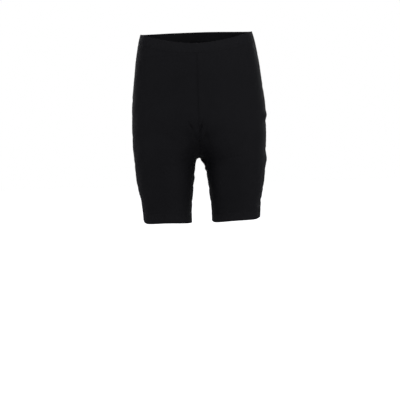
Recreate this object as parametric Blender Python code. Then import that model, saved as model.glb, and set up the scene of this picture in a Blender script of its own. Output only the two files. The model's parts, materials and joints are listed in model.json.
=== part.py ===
"""Cycling shorts in the form that they have when worn: a hollow shell of stretch knit, open at the waist and legs.

Metres, +Z up. The front faces -Y and the wearer's left is +X. The origin is the middle of the waist opening, level
with the top edge of the waistband at the side seams, where the wearer's waist holds the shorts up.
"""

import math
from collections import namedtuple
from functools import lru_cache

import bmesh
import bpy
import numpy as np

# Cloth and trim
CLOTH_THICK = 0.0018
BAND_HEIGHT = 0.026
BAND_THICK = 0.0030
HEM_HEIGHT = 0.025
HEM_THICK = 0.0026
TRIM_PROUD = 0.0004
TRIM_ROUNDING = 0.0007
SEAM_GAP = 0.0003

# Height of the side seam's top and bottom ends, the band and the hem included
WAIST = 0.0
LEG_END = -0.4995

# How finely the shell is divided: columns of cells to each front or back quarter, and rows of them
QUARTER_COLUMNS = 16
ROWS_ABOVE_CROTCH = 18
ROWS_BELOW_CROTCH = 11
GIRTH_SAMPLES = 160
NORMAL_REACH = 0.002

# How the columns close up above the crotch: the height over which they do, how sharply, and how close they come
EVEN_COLUMNS_ABOVE = 0.140
COLUMN_POWER = 4.0
CLOSEST_COLUMNS = 0.55

LEFT = 1
RIGHT = -1
FRONT = -1
BACK = 1
FAR = 9.0

# A ring of the shell, level with "height" at the side seam. Above the crotch each half of it is an arc that meets
# its mirror image on the centre line, and below the crotch it closes round one leg.
#   half_width  centre line to side seam
#   leg_x       centre line to the middle of the ring: 0 round the body, then out to the middle of each leg
#   seam_y      how far the side seam and the inseam lie behind the origin
#   front, back depth of the ring before and behind the side seam
#   bridge      how widely the stretched cloth spans the dip between the two legs
#   front_dip   how far the centre front hangs below the side seam
#   back_lift   how far the centre back stands above the side seam
#   inner_drop  how far the inseam hangs below the side seam
Section = namedtuple("Section", "height half_width leg_x seam_y front back bridge front_dip back_lift inner_drop")
SECTIONS = (
    Section(0.000, 0.1476, 0.0000, 0.000, 0.103, 0.101, 0.040, 0.0310, 0.006, 0.0000),
    Section(-0.026, 0.1550, 0.0000, 0.000, 0.108, 0.106, 0.040, 0.0300, 0.006, 0.0000),
    Section(-0.068, 0.1627, 0.0000, 0.001, 0.113, 0.114, 0.040, 0.0260, 0.006, 0.0000),
    Section(-0.108, 0.1682, 0.0010, 0.002, 0.115, 0.122, 0.040, 0.0210, 0.005, 0.0000),
    Section(-0.148, 0.1734, 0.0065, 0.003, 0.115, 0.129, 0.040, 0.0150, 0.004, 0.0000),
    Section(-0.188, 0.1771, 0.0235, 0.004, 0.114, 0.134, 0.038, 0.0090, 0.002, 0.0000),
    Section(-0.235, 0.1792, 0.0528, 0.005, 0.112, 0.136, 0.034, 0.0030, 0.000, 0.0000),
    Section(-0.275, 0.1790, 0.0741, 0.006, 0.109, 0.131, 0.026, 0.0000, 0.000, 0.0000),
    Section(-0.305, 0.1782, 0.0880, 0.007, 0.107, 0.122, 0.019, 0.0000, 0.000, 0.0000),
    Section(-0.335, 0.1769, 0.0965, 0.008, 0.104, 0.111, 0.014, 0.0000, 0.000, 0.0000),
    Section(-0.363, 0.1752, 0.0965, 0.008, 0.100, 0.101, 0.010, 0.0000, 0.000, 0.0010),
    Section(-0.395, 0.1717, 0.0957, 0.007, 0.095, 0.091, 0.005, 0.0000, 0.000, 0.0025),
    Section(-0.428, 0.1661, 0.0943, 0.005, 0.088, 0.083, 0.001, -0.0010, 0.000, 0.0045),
    Section(-0.470, 0.1590, 0.0930, 0.003, 0.079, 0.076, 0.000, -0.0040, 0.000, 0.0065),
    Section(-0.504, 0.1578, 0.0926, 0.002, 0.075, 0.073, 0.000, -0.0052, 0.000, 0.0065),
)

# The largest folds. "girth" is measured round the shell from the named line: from the centre front or centre back
# towards the wearer's left, and from a side seam or inseam towards the back. "lean" is 0 for a fold that runs round
# the body and 90 for one that runs up it; "rise" is the height of a ridge, or the depth of a trough if negative.
Fold = namedtuple("Fold", "line girth height lean length width rise")
FOLDS = (
    Fold("front", -0.023, -0.262, 78, 0.090, 0.011, -0.0024),
    Fold("front", 0.013, -0.262, 100, 0.080, 0.011, -0.0022),
    Fold("front", -0.090, -0.268, -28, 0.110, 0.013, -0.0014),
    Fold("front", 0.085, -0.282, 24, 0.120, 0.013, -0.0014),
    Fold("left side", -0.006, -0.221, 8, 0.085, 0.010, 0.0030),
    Fold("left side", -0.004, -0.341, -6, 0.090, 0.011, 0.0024),
    Fold("right side", -0.010, -0.300, 6, 0.110, 0.014, 0.0012),
    Fold("left inseam", -0.004, -0.342, 0, 0.060, 0.010, 0.0044),
    Fold("right inseam", 0.004, -0.384, 0, 0.060, 0.010, 0.0014),
    Fold("left side", -0.010, -0.452, 4, 0.060, 0.009, -0.0014),
    Fold("right side", -0.008, -0.440, -5, 0.060, 0.010, -0.0012),
    Fold("back", 0.088, -0.354, 6, 0.130, 0.013, -0.0034),
    Fold("back", -0.084, -0.351, -7, 0.125, 0.013, -0.0032),
    Fold("back", 0.070, -0.386, 4, 0.095, 0.011, -0.0018),
    Fold("back", -0.074, -0.392, -3, 0.100, 0.011, -0.0017),
    Fold("back", 0.058, -0.130, 70, 0.100, 0.014, -0.0012),
    Fold("back", -0.052, -0.122, 112, 0.090, 0.014, -0.0012),
)
FOLD_FADE = 0.022

CLOTH_COLOUR = (0.0092, 0.0092, 0.0104, 1.0)
TRIM_COLOUR = (0.0104, 0.0104, 0.0117, 1.0)


@lru_cache(maxsize=None)
def section_bends():
    """Second derivatives that carry a smooth curve through every column of the section table."""
    heights = np.array([row.height for row in SECTIONS])
    rows = np.array(SECTIONS)
    gaps = np.diff(heights)
    steepness = np.diff(rows, axis=0) / gaps[:, None]
    size = len(heights)
    matrix = np.eye(size)
    right_side = np.zeros(rows.shape)
    for k in range(1, size - 1):
        matrix[k, k - 1:k + 2] = gaps[k - 1], 2 * (gaps[k - 1] + gaps[k]), gaps[k]
        right_side[k] = 6 * (steepness[k] - steepness[k - 1])
    return np.linalg.solve(matrix, right_side)


@lru_cache(maxsize=None)
def section_at(height):
    """The section at any height, on smooth curves through the rows of the table."""
    k = max(j for j in range(len(SECTIONS) - 1) if j == 0 or SECTIONS[j].height >= height)
    upper, lower = np.array(SECTIONS[k]), np.array(SECTIONS[k + 1])
    bends = section_bends()
    gap = lower[0] - upper[0]
    down = (height - upper[0]) / gap
    up = 1 - down
    curve = (up ** 3 - up) * bends[k] + (down ** 3 - down) * bends[k + 1]
    values = up * upper + down * lower + curve * gap ** 2 / 6
    return Section(*values)._replace(height=height)


def parting(at):
    """How far a leg ring's inner edge clears the centre line: negative while the halves still meet there."""
    return 2 * at.leg_x - math.hypot(at.half_width, at.bridge) - at.bridge


@lru_cache(maxsize=None)
def crotch_height():
    """The height at which the body ring parts into two leg rings."""
    high, low = SECTIONS[7].height, SECTIONS[10].height
    for _ in range(60):
        middle = (high + low) / 2
        if parting(section_at(middle)) < 0:
            high = middle
        else:
            low = middle
    return (high + low) / 2


@lru_cache(maxsize=None)
def crotch_girth(facing):
    """The length of the front or back quarter of the ring that passes through the crotch."""
    _, girths = quarter_ring(section_at(crotch_height()), facing)
    return girths[0]


def column_shares(height, length, facing):
    """Where the columns cross a quarter ring, from 1 at its middle edge to 0 at the side seam.

    Rings grow quickly shorter just above the crotch. There the columns keep to their places at the side seam's end
    and close up at the middle edge, so that they run down into the legs without a jog.
    """
    even = np.linspace(1, 0, QUARTER_COLUMNS + 1)
    above = height - crotch_height()
    if above < 1e-9 or above > EVEN_COLUMNS_ABOVE:
        return even
    full = crotch_girth(facing)
    lost = max(1e-9, 1 - length / full)
    power = min(COLUMN_POWER, CLOSEST_COLUMNS / lost)
    fade = min(1, 2 - 2 * above / EVEN_COLUMNS_ABOVE)
    power = 1 + (power - 1) * fade
    return (even - lost * even ** power) / (1 - lost)


def quarter_ring(at, facing):
    """Points of the front or back quarter of a ring, evenly spaced from its middle edge to the side seam.

    Returns the points and each one's distance round the shell from the side seam.
    """
    outer = math.hypot(at.half_width, at.bridge)
    radius = outer - at.leg_x
    depth = at.front if facing == FRONT else at.back
    end = math.acos(max(-1.0, min(1.0, (at.bridge - at.leg_x) / radius)))

    def places(turns):
        spread = at.leg_x + radius * np.cos(turns)
        lean = np.sin(turns) ** 2
        x = np.sqrt(np.maximum(spread ** 2 - at.bridge ** 2, 0))
        y = at.seam_y + facing * depth * np.sin(turns)
        tip = -at.front_dip if facing == FRONT else at.back_lift
        z = at.height + tip * lean - at.inner_drop * (outer - spread) / (2 * radius)
        return np.stack([x, y, z], axis=1)

    # The samples crowd towards the middle edge, where the shell turns in to meet the centre line
    share = np.linspace(0, 1, GIRTH_SAMPLES)
    turns = end * share * (2 - share)
    steps = np.linalg.norm(np.diff(places(turns), axis=0), axis=1)
    girth = np.concatenate([[0], np.cumsum(steps)])
    wanted = girth[-1] * column_shares(at.height, girth[-1], facing)
    return places(np.interp(wanted, girth, turns)), wanted


def half_grid(heights):
    """Rows of points over the wearer's left half, from the front's middle edge round to the back's middle edge.

    Returns the points, their outward normals and their distances round the shell from the side seam.
    """
    crotch = crotch_height()
    points, girths = [], []
    for height in heights:
        at = section_at(height)
        front, front_girth = quarter_ring(at, FRONT)
        back, back_girth = quarter_ring(at, BACK)
        points.append(np.concatenate([front, back[-2::-1]]))
        girths.append(np.concatenate([-front_girth, back_girth[-2::-1]]))
    points, girths = np.array(points), np.array(girths)
    above = np.array(heights)[:, None] > crotch - 1e-9
    mirror = np.array([-1.0, 1.0, 1.0])
    before = np.where(above, points[:, 1] * mirror, points[:, -2])
    after = np.where(above, points[:, -2] * mirror, points[:, 1])
    padded = np.concatenate([before[:, None], points, after[:, None]], axis=1)
    round_shell = padded[:, 2:] - padded[:, :-2]
    down_shell = np.gradient(points, axis=0)
    normals = np.cross(down_shell, round_shell)
    normals /= np.linalg.norm(normals, axis=2)[:, :, None]
    for k, height in enumerate(heights):
        if height > crotch - 1e-9:
            normals[k, [0, -1], 0] = 0.0
        if abs(height - crotch) < 1e-9:
            normals[k, [0, -1]] = 0.0, 0.0, -1.0
    return points, normals, girths


def fold_rise(heights, girths, side):
    """How far the folds lift or sink each point of one half's grid."""
    heights = np.array(heights)[:, None] * np.ones(girths.shape)
    is_front = (np.arange(girths.shape[1]) <= QUARTER_COLUMNS)[None, :]
    is_back = (np.arange(girths.shape[1]) >= QUARTER_COLUMNS)[None, :]
    from_front = girths - girths[:, :1]
    from_back = girths[:, -1:] - girths
    name = "left" if side == LEFT else "right"
    below = heights < crotch_height()
    measured = {
        "front": np.where(is_front, side * from_front, FAR),
        "back": np.where(is_back, side * from_back, FAR),
        name + " side": girths,
        name + " inseam": np.where(below, np.where(is_front, -from_front, from_back), FAR),
    }
    rise = np.zeros(girths.shape)
    for fold in FOLDS:
        if fold.line not in measured:
            continue
        round_shell = measured[fold.line] - fold.girth
        up_shell = heights - fold.height
        lean = math.radians(fold.lean)
        along = round_shell * math.cos(lean) + up_shell * math.sin(lean)
        across = up_shell * math.cos(lean) - round_shell * math.sin(lean)
        taper = np.cos(np.clip(np.abs(along) / fold.length, 0, 0.5) * math.pi) ** 2
        rise += fold.rise * taper * np.exp(-(across / fold.width) ** 2)
    from_trim = np.minimum(WAIST - BAND_HEIGHT - heights, heights - LEG_END - HEM_HEIGHT)
    return rise * np.clip(from_trim / FOLD_FADE, 0, 1)


def add_object(name, vertices, faces, material):
    """One closed solid from its points and faces, shaded smooth over the cloth and sharp at its cut edges."""
    mesh = bpy.data.meshes.new(name)
    shell = bmesh.new()
    corners = [shell.verts.new(point) for point in vertices]
    for face in faces:
        shell.faces.new([corners[k] for k in face])
    bmesh.ops.recalc_face_normals(shell, faces=shell.faces[:])
    shell.to_mesh(mesh)
    shell.free()
    mesh.shade_smooth()
    mesh.set_sharp_from_angle(angle=math.radians(50))
    mesh.materials.append(material)
    solid = bpy.data.objects.new(name, mesh)
    bpy.context.scene.collection.objects.link(solid)
    return solid


def grid_faces(rows, columns, first=0, flip=False):
    """Quads over a grid of points that is numbered row by row."""
    faces = []
    for r in range(rows - 1):
        for c in range(columns - 1):
            k = first + r * columns + c
            face = (k, k + 1, k + columns + 1, k + columns)
            faces.append(face[::-1] if flip else face)
    return faces


def rim_faces(rows, columns):
    """Quads that close the edge between an outer grid and the inner grid numbered after it."""
    top = list(range(columns))
    right = [r * columns + columns - 1 for r in range(1, rows)]
    bottom = [(rows - 1) * columns + c for c in range(columns - 2, -1, -1)]
    left = [r * columns for r in range(rows - 2, 0, -1)]
    edge = top + right + bottom + left
    inner = rows * columns
    return [(a, b, b + inner, a + inner) for a, b in zip(edge, edge[1:] + edge[:1])]


def panel_heights():
    """Heights of a panel's rows: from the band to the hem, closest together at the crotch."""
    crotch = crotch_height()
    top = WAIST - BAND_HEIGHT - SEAM_GAP
    bottom = LEG_END + HEM_HEIGHT + SEAM_GAP
    upper = [(k / ROWS_ABOVE_CROTCH) ** 1.5 for k in range(ROWS_ABOVE_CROTCH, 0, -1)]
    lower = [(k / ROWS_BELOW_CROTCH) ** 1.35 for k in range(1, ROWS_BELOW_CROTCH + 1)]
    above = [crotch + (top - crotch) * share for share in upper]
    below = [crotch + (bottom - crotch) * share for share in lower]
    return above + [crotch] + below


def open_seams(grid, heights, facing):
    """Draws a panel's side, rise and inseam edges back by half a seam gap."""
    half_gap = SEAM_GAP / 2
    crotch = crotch_height()
    middle, side = (0, -1) if facing == FRONT else (-1, 0)
    for k, height in enumerate(heights):
        seam_y = section_at(height).seam_y
        grid[k, side, 1] = seam_y + facing * half_gap
        if height > crotch - 1e-9:
            grid[k, middle, 0] = half_gap
        if height < crotch + 1e-9:
            grid[k, middle, 1] = seam_y + facing * half_gap


def add_panel(name, side, facing, material):
    """One leg's front or back panel: a wall of cloth from the centre line or inseam to the side seam."""
    heights = panel_heights()
    points, normals, girths = half_grid(heights)
    rise = fold_rise(heights, girths, side)
    chosen = slice(0, QUARTER_COLUMNS + 1) if facing == FRONT else slice(QUARTER_COLUMNS, None)
    outer = (points + normals * rise[:, :, None])[:, chosen]
    inner = outer - normals[:, chosen] * CLOTH_THICK
    for grid in (outer, inner):
        open_seams(grid, heights, facing)
        grid[:, :, 0] *= side
    rows, columns = outer.shape[:2]
    vertices = np.concatenate([outer.reshape(-1, 3), inner.reshape(-1, 3)])
    faces = grid_faces(rows, columns)
    faces += grid_faces(rows, columns, first=rows * columns, flip=True)
    faces += rim_faces(rows, columns)
    return add_object(name, vertices.tolist(), faces, material)


def trim_profile(height, thick):
    """A trim's cross-section as (distance below its top edge, distance out from the cloth's outer face)."""
    out, back_face = TRIM_PROUD, TRIM_PROUD - thick
    r = TRIM_ROUNDING
    return (
        (0, out - r), (r, out), (height * 0.35, out), (height * 0.7, out), (height - r, out),
        (height, out - r), (height, back_face + r), (height - r, back_face), (r, back_face), (0, back_face + r),
    )


def add_trim(name, top, height, thick, material, side=None):
    """The waistband, round both halves, or with a side given the hem round one leg."""
    rings = []
    for below_top, out in trim_profile(height, thick):
        spot = top - below_top
        points, normals, _ = half_grid((spot + NORMAL_REACH, spot, spot - NORMAL_REACH))
        ring = (points + normals * out)[1]
        other = ring * (-1.0, 1.0, 1.0)
        if side is None:
            ring = np.concatenate([ring, other[-2:0:-1]])
        else:
            ring = (ring if side == LEFT else other)[:-1]
        rings.append(ring)
    count = len(rings[0])
    faces = []
    for r in range(len(rings)):
        following = (r + 1) % len(rings)
        for c in range(count):
            beside = (c + 1) % count
            faces.append((r * count + c, r * count + beside, following * count + beside, following * count + c))
    return add_object(name, np.concatenate(rings).tolist(), faces, material)


def knit_material(name, colour, roughness):
    """Dyed stretch knit."""
    material = bpy.data.materials.new(name)
    material.use_nodes = True
    shader = material.node_tree.nodes["Principled BSDF"]
    shader.inputs["Base Color"].default_value = colour
    shader.inputs["Roughness"].default_value = roughness
    shader.inputs["Metallic"].default_value = 0.0
    return material


def main():
    for old in list(bpy.data.objects):
        bpy.data.objects.remove(old)
    cloth = knit_material("black_knit", CLOTH_COLOUR, 0.72)
    trim = knit_material("black_trim", TRIM_COLOUR, 0.78)
    for side, side_name in ((LEFT, "left"), (RIGHT, "right")):
        add_panel("front_" + side_name, side, FRONT, cloth)
        add_panel("back_" + side_name, side, BACK, cloth)
        add_trim("hem_" + side_name, LEG_END + HEM_HEIGHT, HEM_HEIGHT, HEM_THICK, trim, side)
    add_trim("waistband", WAIST, BAND_HEIGHT, BAND_THICK, trim)


main()
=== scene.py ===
"""Looks of the cycling shorts: thin shells of black stretch knit with folds and sewing, in a plain studio.

Metres, +Z up, in the frame of the solids: the front faces -Y, the wearer's left is +X, and the middle of the
waist opening is the origin. Each shell has its solid's form on a finer grid, with finer creases.
"""

import json
import math
from collections import namedtuple
from functools import lru_cache

import bpy
import numpy as np
from mathutils import Matrix, Vector


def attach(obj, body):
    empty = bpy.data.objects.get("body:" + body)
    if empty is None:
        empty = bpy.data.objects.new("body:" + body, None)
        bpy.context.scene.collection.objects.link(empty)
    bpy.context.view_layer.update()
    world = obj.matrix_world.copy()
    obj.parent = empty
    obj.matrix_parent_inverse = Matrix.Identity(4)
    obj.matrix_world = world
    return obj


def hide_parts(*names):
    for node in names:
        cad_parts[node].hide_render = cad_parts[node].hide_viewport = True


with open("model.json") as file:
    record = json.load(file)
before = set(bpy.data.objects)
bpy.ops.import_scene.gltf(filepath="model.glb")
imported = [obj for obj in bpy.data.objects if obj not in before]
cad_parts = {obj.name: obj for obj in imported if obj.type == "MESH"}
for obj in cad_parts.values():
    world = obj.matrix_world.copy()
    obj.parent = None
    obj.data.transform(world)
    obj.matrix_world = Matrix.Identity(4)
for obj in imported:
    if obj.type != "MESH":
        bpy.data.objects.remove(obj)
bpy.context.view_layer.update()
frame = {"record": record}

# Cloth and trim: the outer faces lie where those of the solids do
CLOTH_THICK = 0.0010
BAND_HEIGHT = 0.026
BAND_THICK = 0.0026
HEM_HEIGHT = 0.025
HEM_THICK = 0.0022
TRIM_PROUD = 0.0004
BAND_TOP_ROLL = 0.0011
HEM_EDGE_ROLL = 0.0009
TRIM_SEAM_ROLL = 0.0004
BAND_SWELL = 0.0002
ELASTIC_PUCKER = 0.00012
HEM_SWELL = 0.00015
HEM_WAVE = 0.0005
ROLL_STEPS = 5
SEAM_LAP = 0.00004
WAIST = 0.0
LEG_END = -0.4995
LEG_MIDDLE = 0.093

# Points down a trim's outer face and up its inner one, and the waves round it, as shares of height and girth
OUTER_FACE_SHARES = (0.08, 0.16, 0.25, 0.4, 0.55, 0.7, 0.78, 0.86, 0.93)
INNER_FACE_SHARES = (0.8, 0.5, 0.2)
ELASTIC_WAVES = (1 / 163, 1 / 117, 1 / 71)
HEM_EDGE_WAVES = (1 / 5, 1 / 9, 1 / 14)

# The fine grid: cells to a quarter ring, extra columns beside the seams, and rows that close up at the crotch
QUARTER_CELLS = 76
QUARTER_GIRTH = 0.25
BESIDE_SEAM = (0.0009, 0.0020, 0.0034)
ROWS_ABOVE_CROTCH = 112
ROWS_BELOW_CROTCH = 62
POWER_ABOVE_CROTCH = 1.18
POWER_BELOW_CROTCH = 1.12
GIRTH_SAMPLES = 420
NORMAL_REACH = 0.002
SHARP_EDGE = 50

# How the columns close up above the crotch
EVEN_COLUMNS_ABOVE = 0.140
COLUMN_POWER = 4.0
CLOSEST_COLUMNS = 0.55

# Sides and facings as signs, a distance out of any fold's reach, and one that counts as none
LEFT = 1
RIGHT = -1
SIDES = ((LEFT, "left"), (RIGHT, "right"))
FRONT = -1
BACK = 1
FAR = 9.0
TINY = 1e-9

# A ring of the shell, level with "height" at the side seam
Section = namedtuple(
    "Section", "height half_width leg_x seam_y front back bridge front_dip back_lift inner_drop"
)
SECTIONS = (
    Section(0.000, 0.1476, 0.0000, 0.000, 0.103, 0.101, 0.040, 0.0310, 0.006, 0.0000),
    Section(-0.026, 0.1550, 0.0000, 0.000, 0.108, 0.106, 0.040, 0.0300, 0.006, 0.0000),
    Section(-0.068, 0.1627, 0.0000, 0.001, 0.113, 0.114, 0.040, 0.0260, 0.006, 0.0000),
    Section(-0.108, 0.1682, 0.0010, 0.002, 0.115, 0.122, 0.040, 0.0210, 0.005, 0.0000),
    Section(-0.148, 0.1734, 0.0065, 0.003, 0.115, 0.129, 0.040, 0.0150, 0.004, 0.0000),
    Section(-0.188, 0.1771, 0.0235, 0.004, 0.114, 0.134, 0.038, 0.0090, 0.002, 0.0000),
    Section(-0.235, 0.1792, 0.0528, 0.005, 0.112, 0.136, 0.034, 0.0030, 0.000, 0.0000),
    Section(-0.275, 0.1790, 0.0741, 0.006, 0.109, 0.131, 0.026, 0.0000, 0.000, 0.0000),
    Section(-0.305, 0.1782, 0.0880, 0.007, 0.107, 0.122, 0.019, 0.0000, 0.000, 0.0000),
    Section(-0.335, 0.1769, 0.0965, 0.008, 0.104, 0.111, 0.014, 0.0000, 0.000, 0.0000),
    Section(-0.363, 0.1752, 0.0965, 0.008, 0.100, 0.101, 0.010, 0.0000, 0.000, 0.0010),
    Section(-0.395, 0.1717, 0.0957, 0.007, 0.095, 0.091, 0.005, 0.0000, 0.000, 0.0025),
    Section(-0.428, 0.1661, 0.0943, 0.005, 0.088, 0.083, 0.001, -0.0010, 0.000, 0.0045),
    Section(-0.470, 0.1590, 0.0930, 0.003, 0.079, 0.076, 0.000, -0.0040, 0.000, 0.0065),
    Section(-0.504, 0.1578, 0.0926, 0.002, 0.075, 0.073, 0.000, -0.0052, 0.000, 0.0065),
)

# The crotch lies between these rows of the table, and is found by halving
CROTCH_ROWS = (7, 10)
HALVINGS = 60

# Folds and creases. "girth" is measured round the shell from the named line: from the centre front or back
# towards the wearer's left, and from a side seam or inseam towards the back. "lean" is 0 for a fold that
# runs round the body and 90 for one that runs up it. "rise" is a ridge's height, or minus a trough's depth,
# and "bow" bends it sideways.
Fold = namedtuple("Fold", "line girth height lean length width rise bow", defaults=(0.0,))
LARGE_FOLDS = (
    Fold("front", -0.023, -0.262, 78, 0.090, 0.011, -0.0024),
    Fold("front", 0.013, -0.262, 100, 0.080, 0.011, -0.0022),
    Fold("front", -0.090, -0.268, -28, 0.110, 0.013, -0.0014),
    Fold("front", 0.085, -0.282, 24, 0.120, 0.013, -0.0014),
    Fold("left side", -0.006, -0.221, 8, 0.085, 0.010, 0.0030),
    Fold("left side", -0.004, -0.341, -6, 0.090, 0.011, 0.0024),
    Fold("right side", -0.010, -0.300, 6, 0.110, 0.014, 0.0012),
    Fold("left inseam", -0.004, -0.342, 0, 0.060, 0.010, 0.0044),
    Fold("right inseam", 0.004, -0.384, 0, 0.060, 0.010, 0.0014),
    Fold("left side", -0.010, -0.452, 4, 0.060, 0.009, -0.0014),
    Fold("right side", -0.008, -0.440, -5, 0.060, 0.010, -0.0012),
    Fold("back", 0.088, -0.354, 6, 0.130, 0.013, -0.0034),
    Fold("back", -0.084, -0.351, -7, 0.125, 0.013, -0.0032),
    Fold("back", 0.070, -0.386, 4, 0.095, 0.011, -0.0018),
    Fold("back", -0.074, -0.392, -3, 0.100, 0.011, -0.0017),
    Fold("back", 0.058, -0.130, 70, 0.100, 0.014, -0.0012),
    Fold("back", -0.052, -0.122, 112, 0.090, 0.014, -0.0012),
)
FINE_CREASES = (
    # Round the groin, where the front is drawn between the legs
    Fold("front", -0.0210, -0.2410, 114, 0.044, 0.0026, -0.0030, 0.001),
    Fold("front", 0.0042, -0.2480, 79, 0.066, 0.0024, -0.0040, -0.001),
    Fold("front", 0.0088, -0.2660, 75, 0.046, 0.0025, 0.0036, -0.001),
    Fold("front", 0.0170, -0.2740, 82, 0.044, 0.0052, -0.0026, -0.001),
    Fold("front", -0.0080, -0.2760, 104, 0.044, 0.0048, -0.0030, 0.001),
    Fold("front", -0.0010, -0.2810, 72, 0.036, 0.0028, -0.0020, -0.001),
    Fold("front", -0.0050, -0.3150, 92, 0.030, 0.0060, 0.0034),
    Fold("front", -0.0020, -0.3260, 2, 0.032, 0.0066, 0.0030),
    Fold("front", -0.0250, -0.2820, 112, 0.090, 0.0110, -0.0026, 0.003),
    Fold("front", 0.0270, -0.2820, 66, 0.094, 0.0120, -0.0026, -0.003),
    Fold("front", 0.0340, -0.3000, 128, 0.050, 0.0046, -0.0009, 0.004),
    Fold("front", -0.0400, -0.3180, 40, 0.060, 0.0052, -0.0009, 0.004),
    # Drag lines over the thighs and hips
    Fold("front", -0.112, -0.236, -22, 0.085, 0.0065, -0.0008, 0.006),
    Fold("front", -0.070, -0.330, -38, 0.075, 0.0055, 0.0008, -0.005),
    Fold("front", 0.100, -0.254, 18, 0.095, 0.0070, -0.0010, -0.007),
    Fold("front", 0.066, -0.336, 34, 0.070, 0.0055, 0.0008, 0.004),
    Fold("front", 0.122, -0.330, 9, 0.070, 0.0060, -0.0010, 0.003),
    Fold("front", -0.128, -0.342, -11, 0.066, 0.0062, -0.0008, -0.004),
    Fold("front", -0.060, -0.075, 82, 0.060, 0.0060, -0.0006, 0.002),
    Fold("front", 0.047, -0.070, 97, 0.052, 0.0055, -0.0006, -0.003),
    Fold("front", 0.110, -0.066, 88, 0.045, 0.0060, -0.0006, 0.002),
    # Side seams, where the seam holds the cloth shorter than its neighbour
    Fold("left side", 0.000, -0.239, 3, 0.050, 0.0050, -0.0014, 0.002),
    Fold("left side", -0.004, -0.318, -8, 0.062, 0.0052, -0.0013, 0.003),
    Fold("left side", 0.004, -0.366, 5, 0.048, 0.0046, -0.0014, -0.002),
    Fold("left side", -0.003, -0.418, 2, 0.030, 0.0034, -0.0014, 0.001),
    Fold("left side", -0.022, -0.437, 4, 0.070, 0.0050, -0.0018, 0.001),
    Fold("left side", -0.002, -0.449, 2, 0.030, 0.0034, -0.0016, -0.001),
    Fold("left side", 0.003, -0.150, 10, 0.058, 0.0060, -0.0008, 0.003),
    Fold("right side", 0.002, -0.272, 7, 0.060, 0.0056, -0.0011, 0.002),
    Fold("right side", -0.002, -0.342, -4, 0.054, 0.0050, -0.0011, -0.003),
    Fold("right side", 0.003, -0.405, 4, 0.040, 0.0042, -0.0013, 0.002),
    Fold("right side", 0.000, -0.172, -9, 0.062, 0.0062, -0.0008, -0.003),
    Fold("left side", -0.023, -0.2240, 2, 0.060, 0.0085, 0.0013, 0.001),
    Fold("left side", -0.030, -0.4620, -2, 0.060, 0.0045, -0.0022, 0.001),
    # Inseams, tight and uneven where the legs part
    Fold("left inseam", 0.000, -0.3350, 4, 0.044, 0.0060, 0.0030),
    Fold("right inseam", 0.000, -0.3370, -5, 0.050, 0.0050, -0.0005),
    Fold("left inseam", 0.000, -0.3620, -3, 0.036, 0.0046, 0.0017),
    Fold("left inseam", 0.000, -0.372, 6, 0.046, 0.0046, -0.0018, 0.002),
    Fold("left inseam", 0.003, -0.410, -4, 0.044, 0.0046, -0.0014, -0.002),
    Fold("left inseam", 0.000, -0.448, 3, 0.036, 0.0040, -0.0013, 0.001),
    Fold("right inseam", 0.000, -0.376, -5, 0.050, 0.0060, -0.0018, 0.001),
    Fold("right inseam", -0.003, -0.402, 5, 0.042, 0.0044, -0.0013, -0.002),
    Fold("right inseam", 0.002, -0.446, -3, 0.040, 0.0042, -0.0014, 0.001),
    # Under the seat and down the backs of the thighs
    Fold("back", 0.040, -0.338, 24, 0.070, 0.0056, -0.0038, -0.004),
    Fold("back", -0.037, -0.334, -26, 0.066, 0.0054, -0.0035, 0.004),
    Fold("back", 0.104, -0.368, 4, 0.090, 0.0062, -0.0031, 0.004),
    Fold("back", -0.100, -0.366, -5, 0.084, 0.0060, -0.0031, -0.004),
    Fold("back", 0.090, -0.404, -3, 0.080, 0.0060, -0.0021, 0.003),
    Fold("back", -0.096, -0.412, 6, 0.070, 0.0058, -0.0020, -0.003),
    Fold("back", 0.080, -0.436, 7, 0.074, 0.0062, -0.0020, 0.003),
    Fold("back", -0.086, -0.444, -4, 0.070, 0.0060, -0.0016, 0.004),
    Fold("back", 0.014, -0.300, 84, 0.070, 0.0050, -0.0031, 0.002),
    Fold("back", -0.012, -0.292, 97, 0.076, 0.0052, -0.0031, -0.002),
    Fold("back", 0.118, -0.246, 34, 0.095, 0.0080, -0.0020, 0.006),
    Fold("back", -0.122, -0.252, -31, 0.090, 0.0080, -0.0020, -0.006),
    Fold("back", 0.030, -0.080, 76, 0.060, 0.0060, -0.0016, 0.002),
    Fold("back", -0.028, -0.086, 101, 0.066, 0.0062, -0.0016, -0.002),
)
LARGE_FADE = 0.022
FINE_FADE = 0.010

# The slight unevenness of worn cloth: how many waves, how long each may be, how much more of them follow one
# another up the body than round it, and how far they move the cloth in all
WAVE_COUNT = 30
WAVE_LENGTHS = (0.030, 0.120)
WAVE_BIAS = (1.0, 1.0, 1.4)
WAVE_RISE = 0.00035
WAVE_SEED = 11

# Puckers beside the seams, below the band and above the hems: depth, reach, and the lengths of their waves,
# in metres along a seam and in radians round the band and the hems. They calm down near the crotch.
SEAM_PUCKER = 0.00022
SEAM_PUCKER_REACH = 0.007
SEAM_PUCKER_WAVES = (0.0093, 0.0131, 0.0214)
SEAM_GROOVE = 0.00025
GROOVE_HALF_WIDTH = 0.0013
CROTCH_REACH = 0.020
CROTCH_CALM = 0.8
BAND_PUCKER = 0.00028
BAND_PUCKER_REACH = 0.016
BAND_PUCKER_TURNS = (0.071, 0.113, 0.187)
HEM_PUCKER = 0.00032
HEM_PUCKER_REACH = 0.011
HEM_PUCKER_TURNS = (0.131, 0.209, 0.341)

# How a hem's lower edge hangs: lower or higher, and by how much, round each leg's own angle (0 faces out)
Sag = namedtuple("Sag", "side angle spread drop")
HEM_SAGS = (
    Sag(1, -12, 22, -0.0034),
    Sag(1, -100, 34, -0.0008),
    Sag(-1, -42, 42, 0.0040),
    Sag(-1, 120, 50, 0.0020),
    Sag(1, 100, 50, 0.0016),
    Sag(1, 178, 22, -0.0030),
    Sag(-1, 0, 20, -0.0034),
)
SAG_POWER = 1.5

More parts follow.
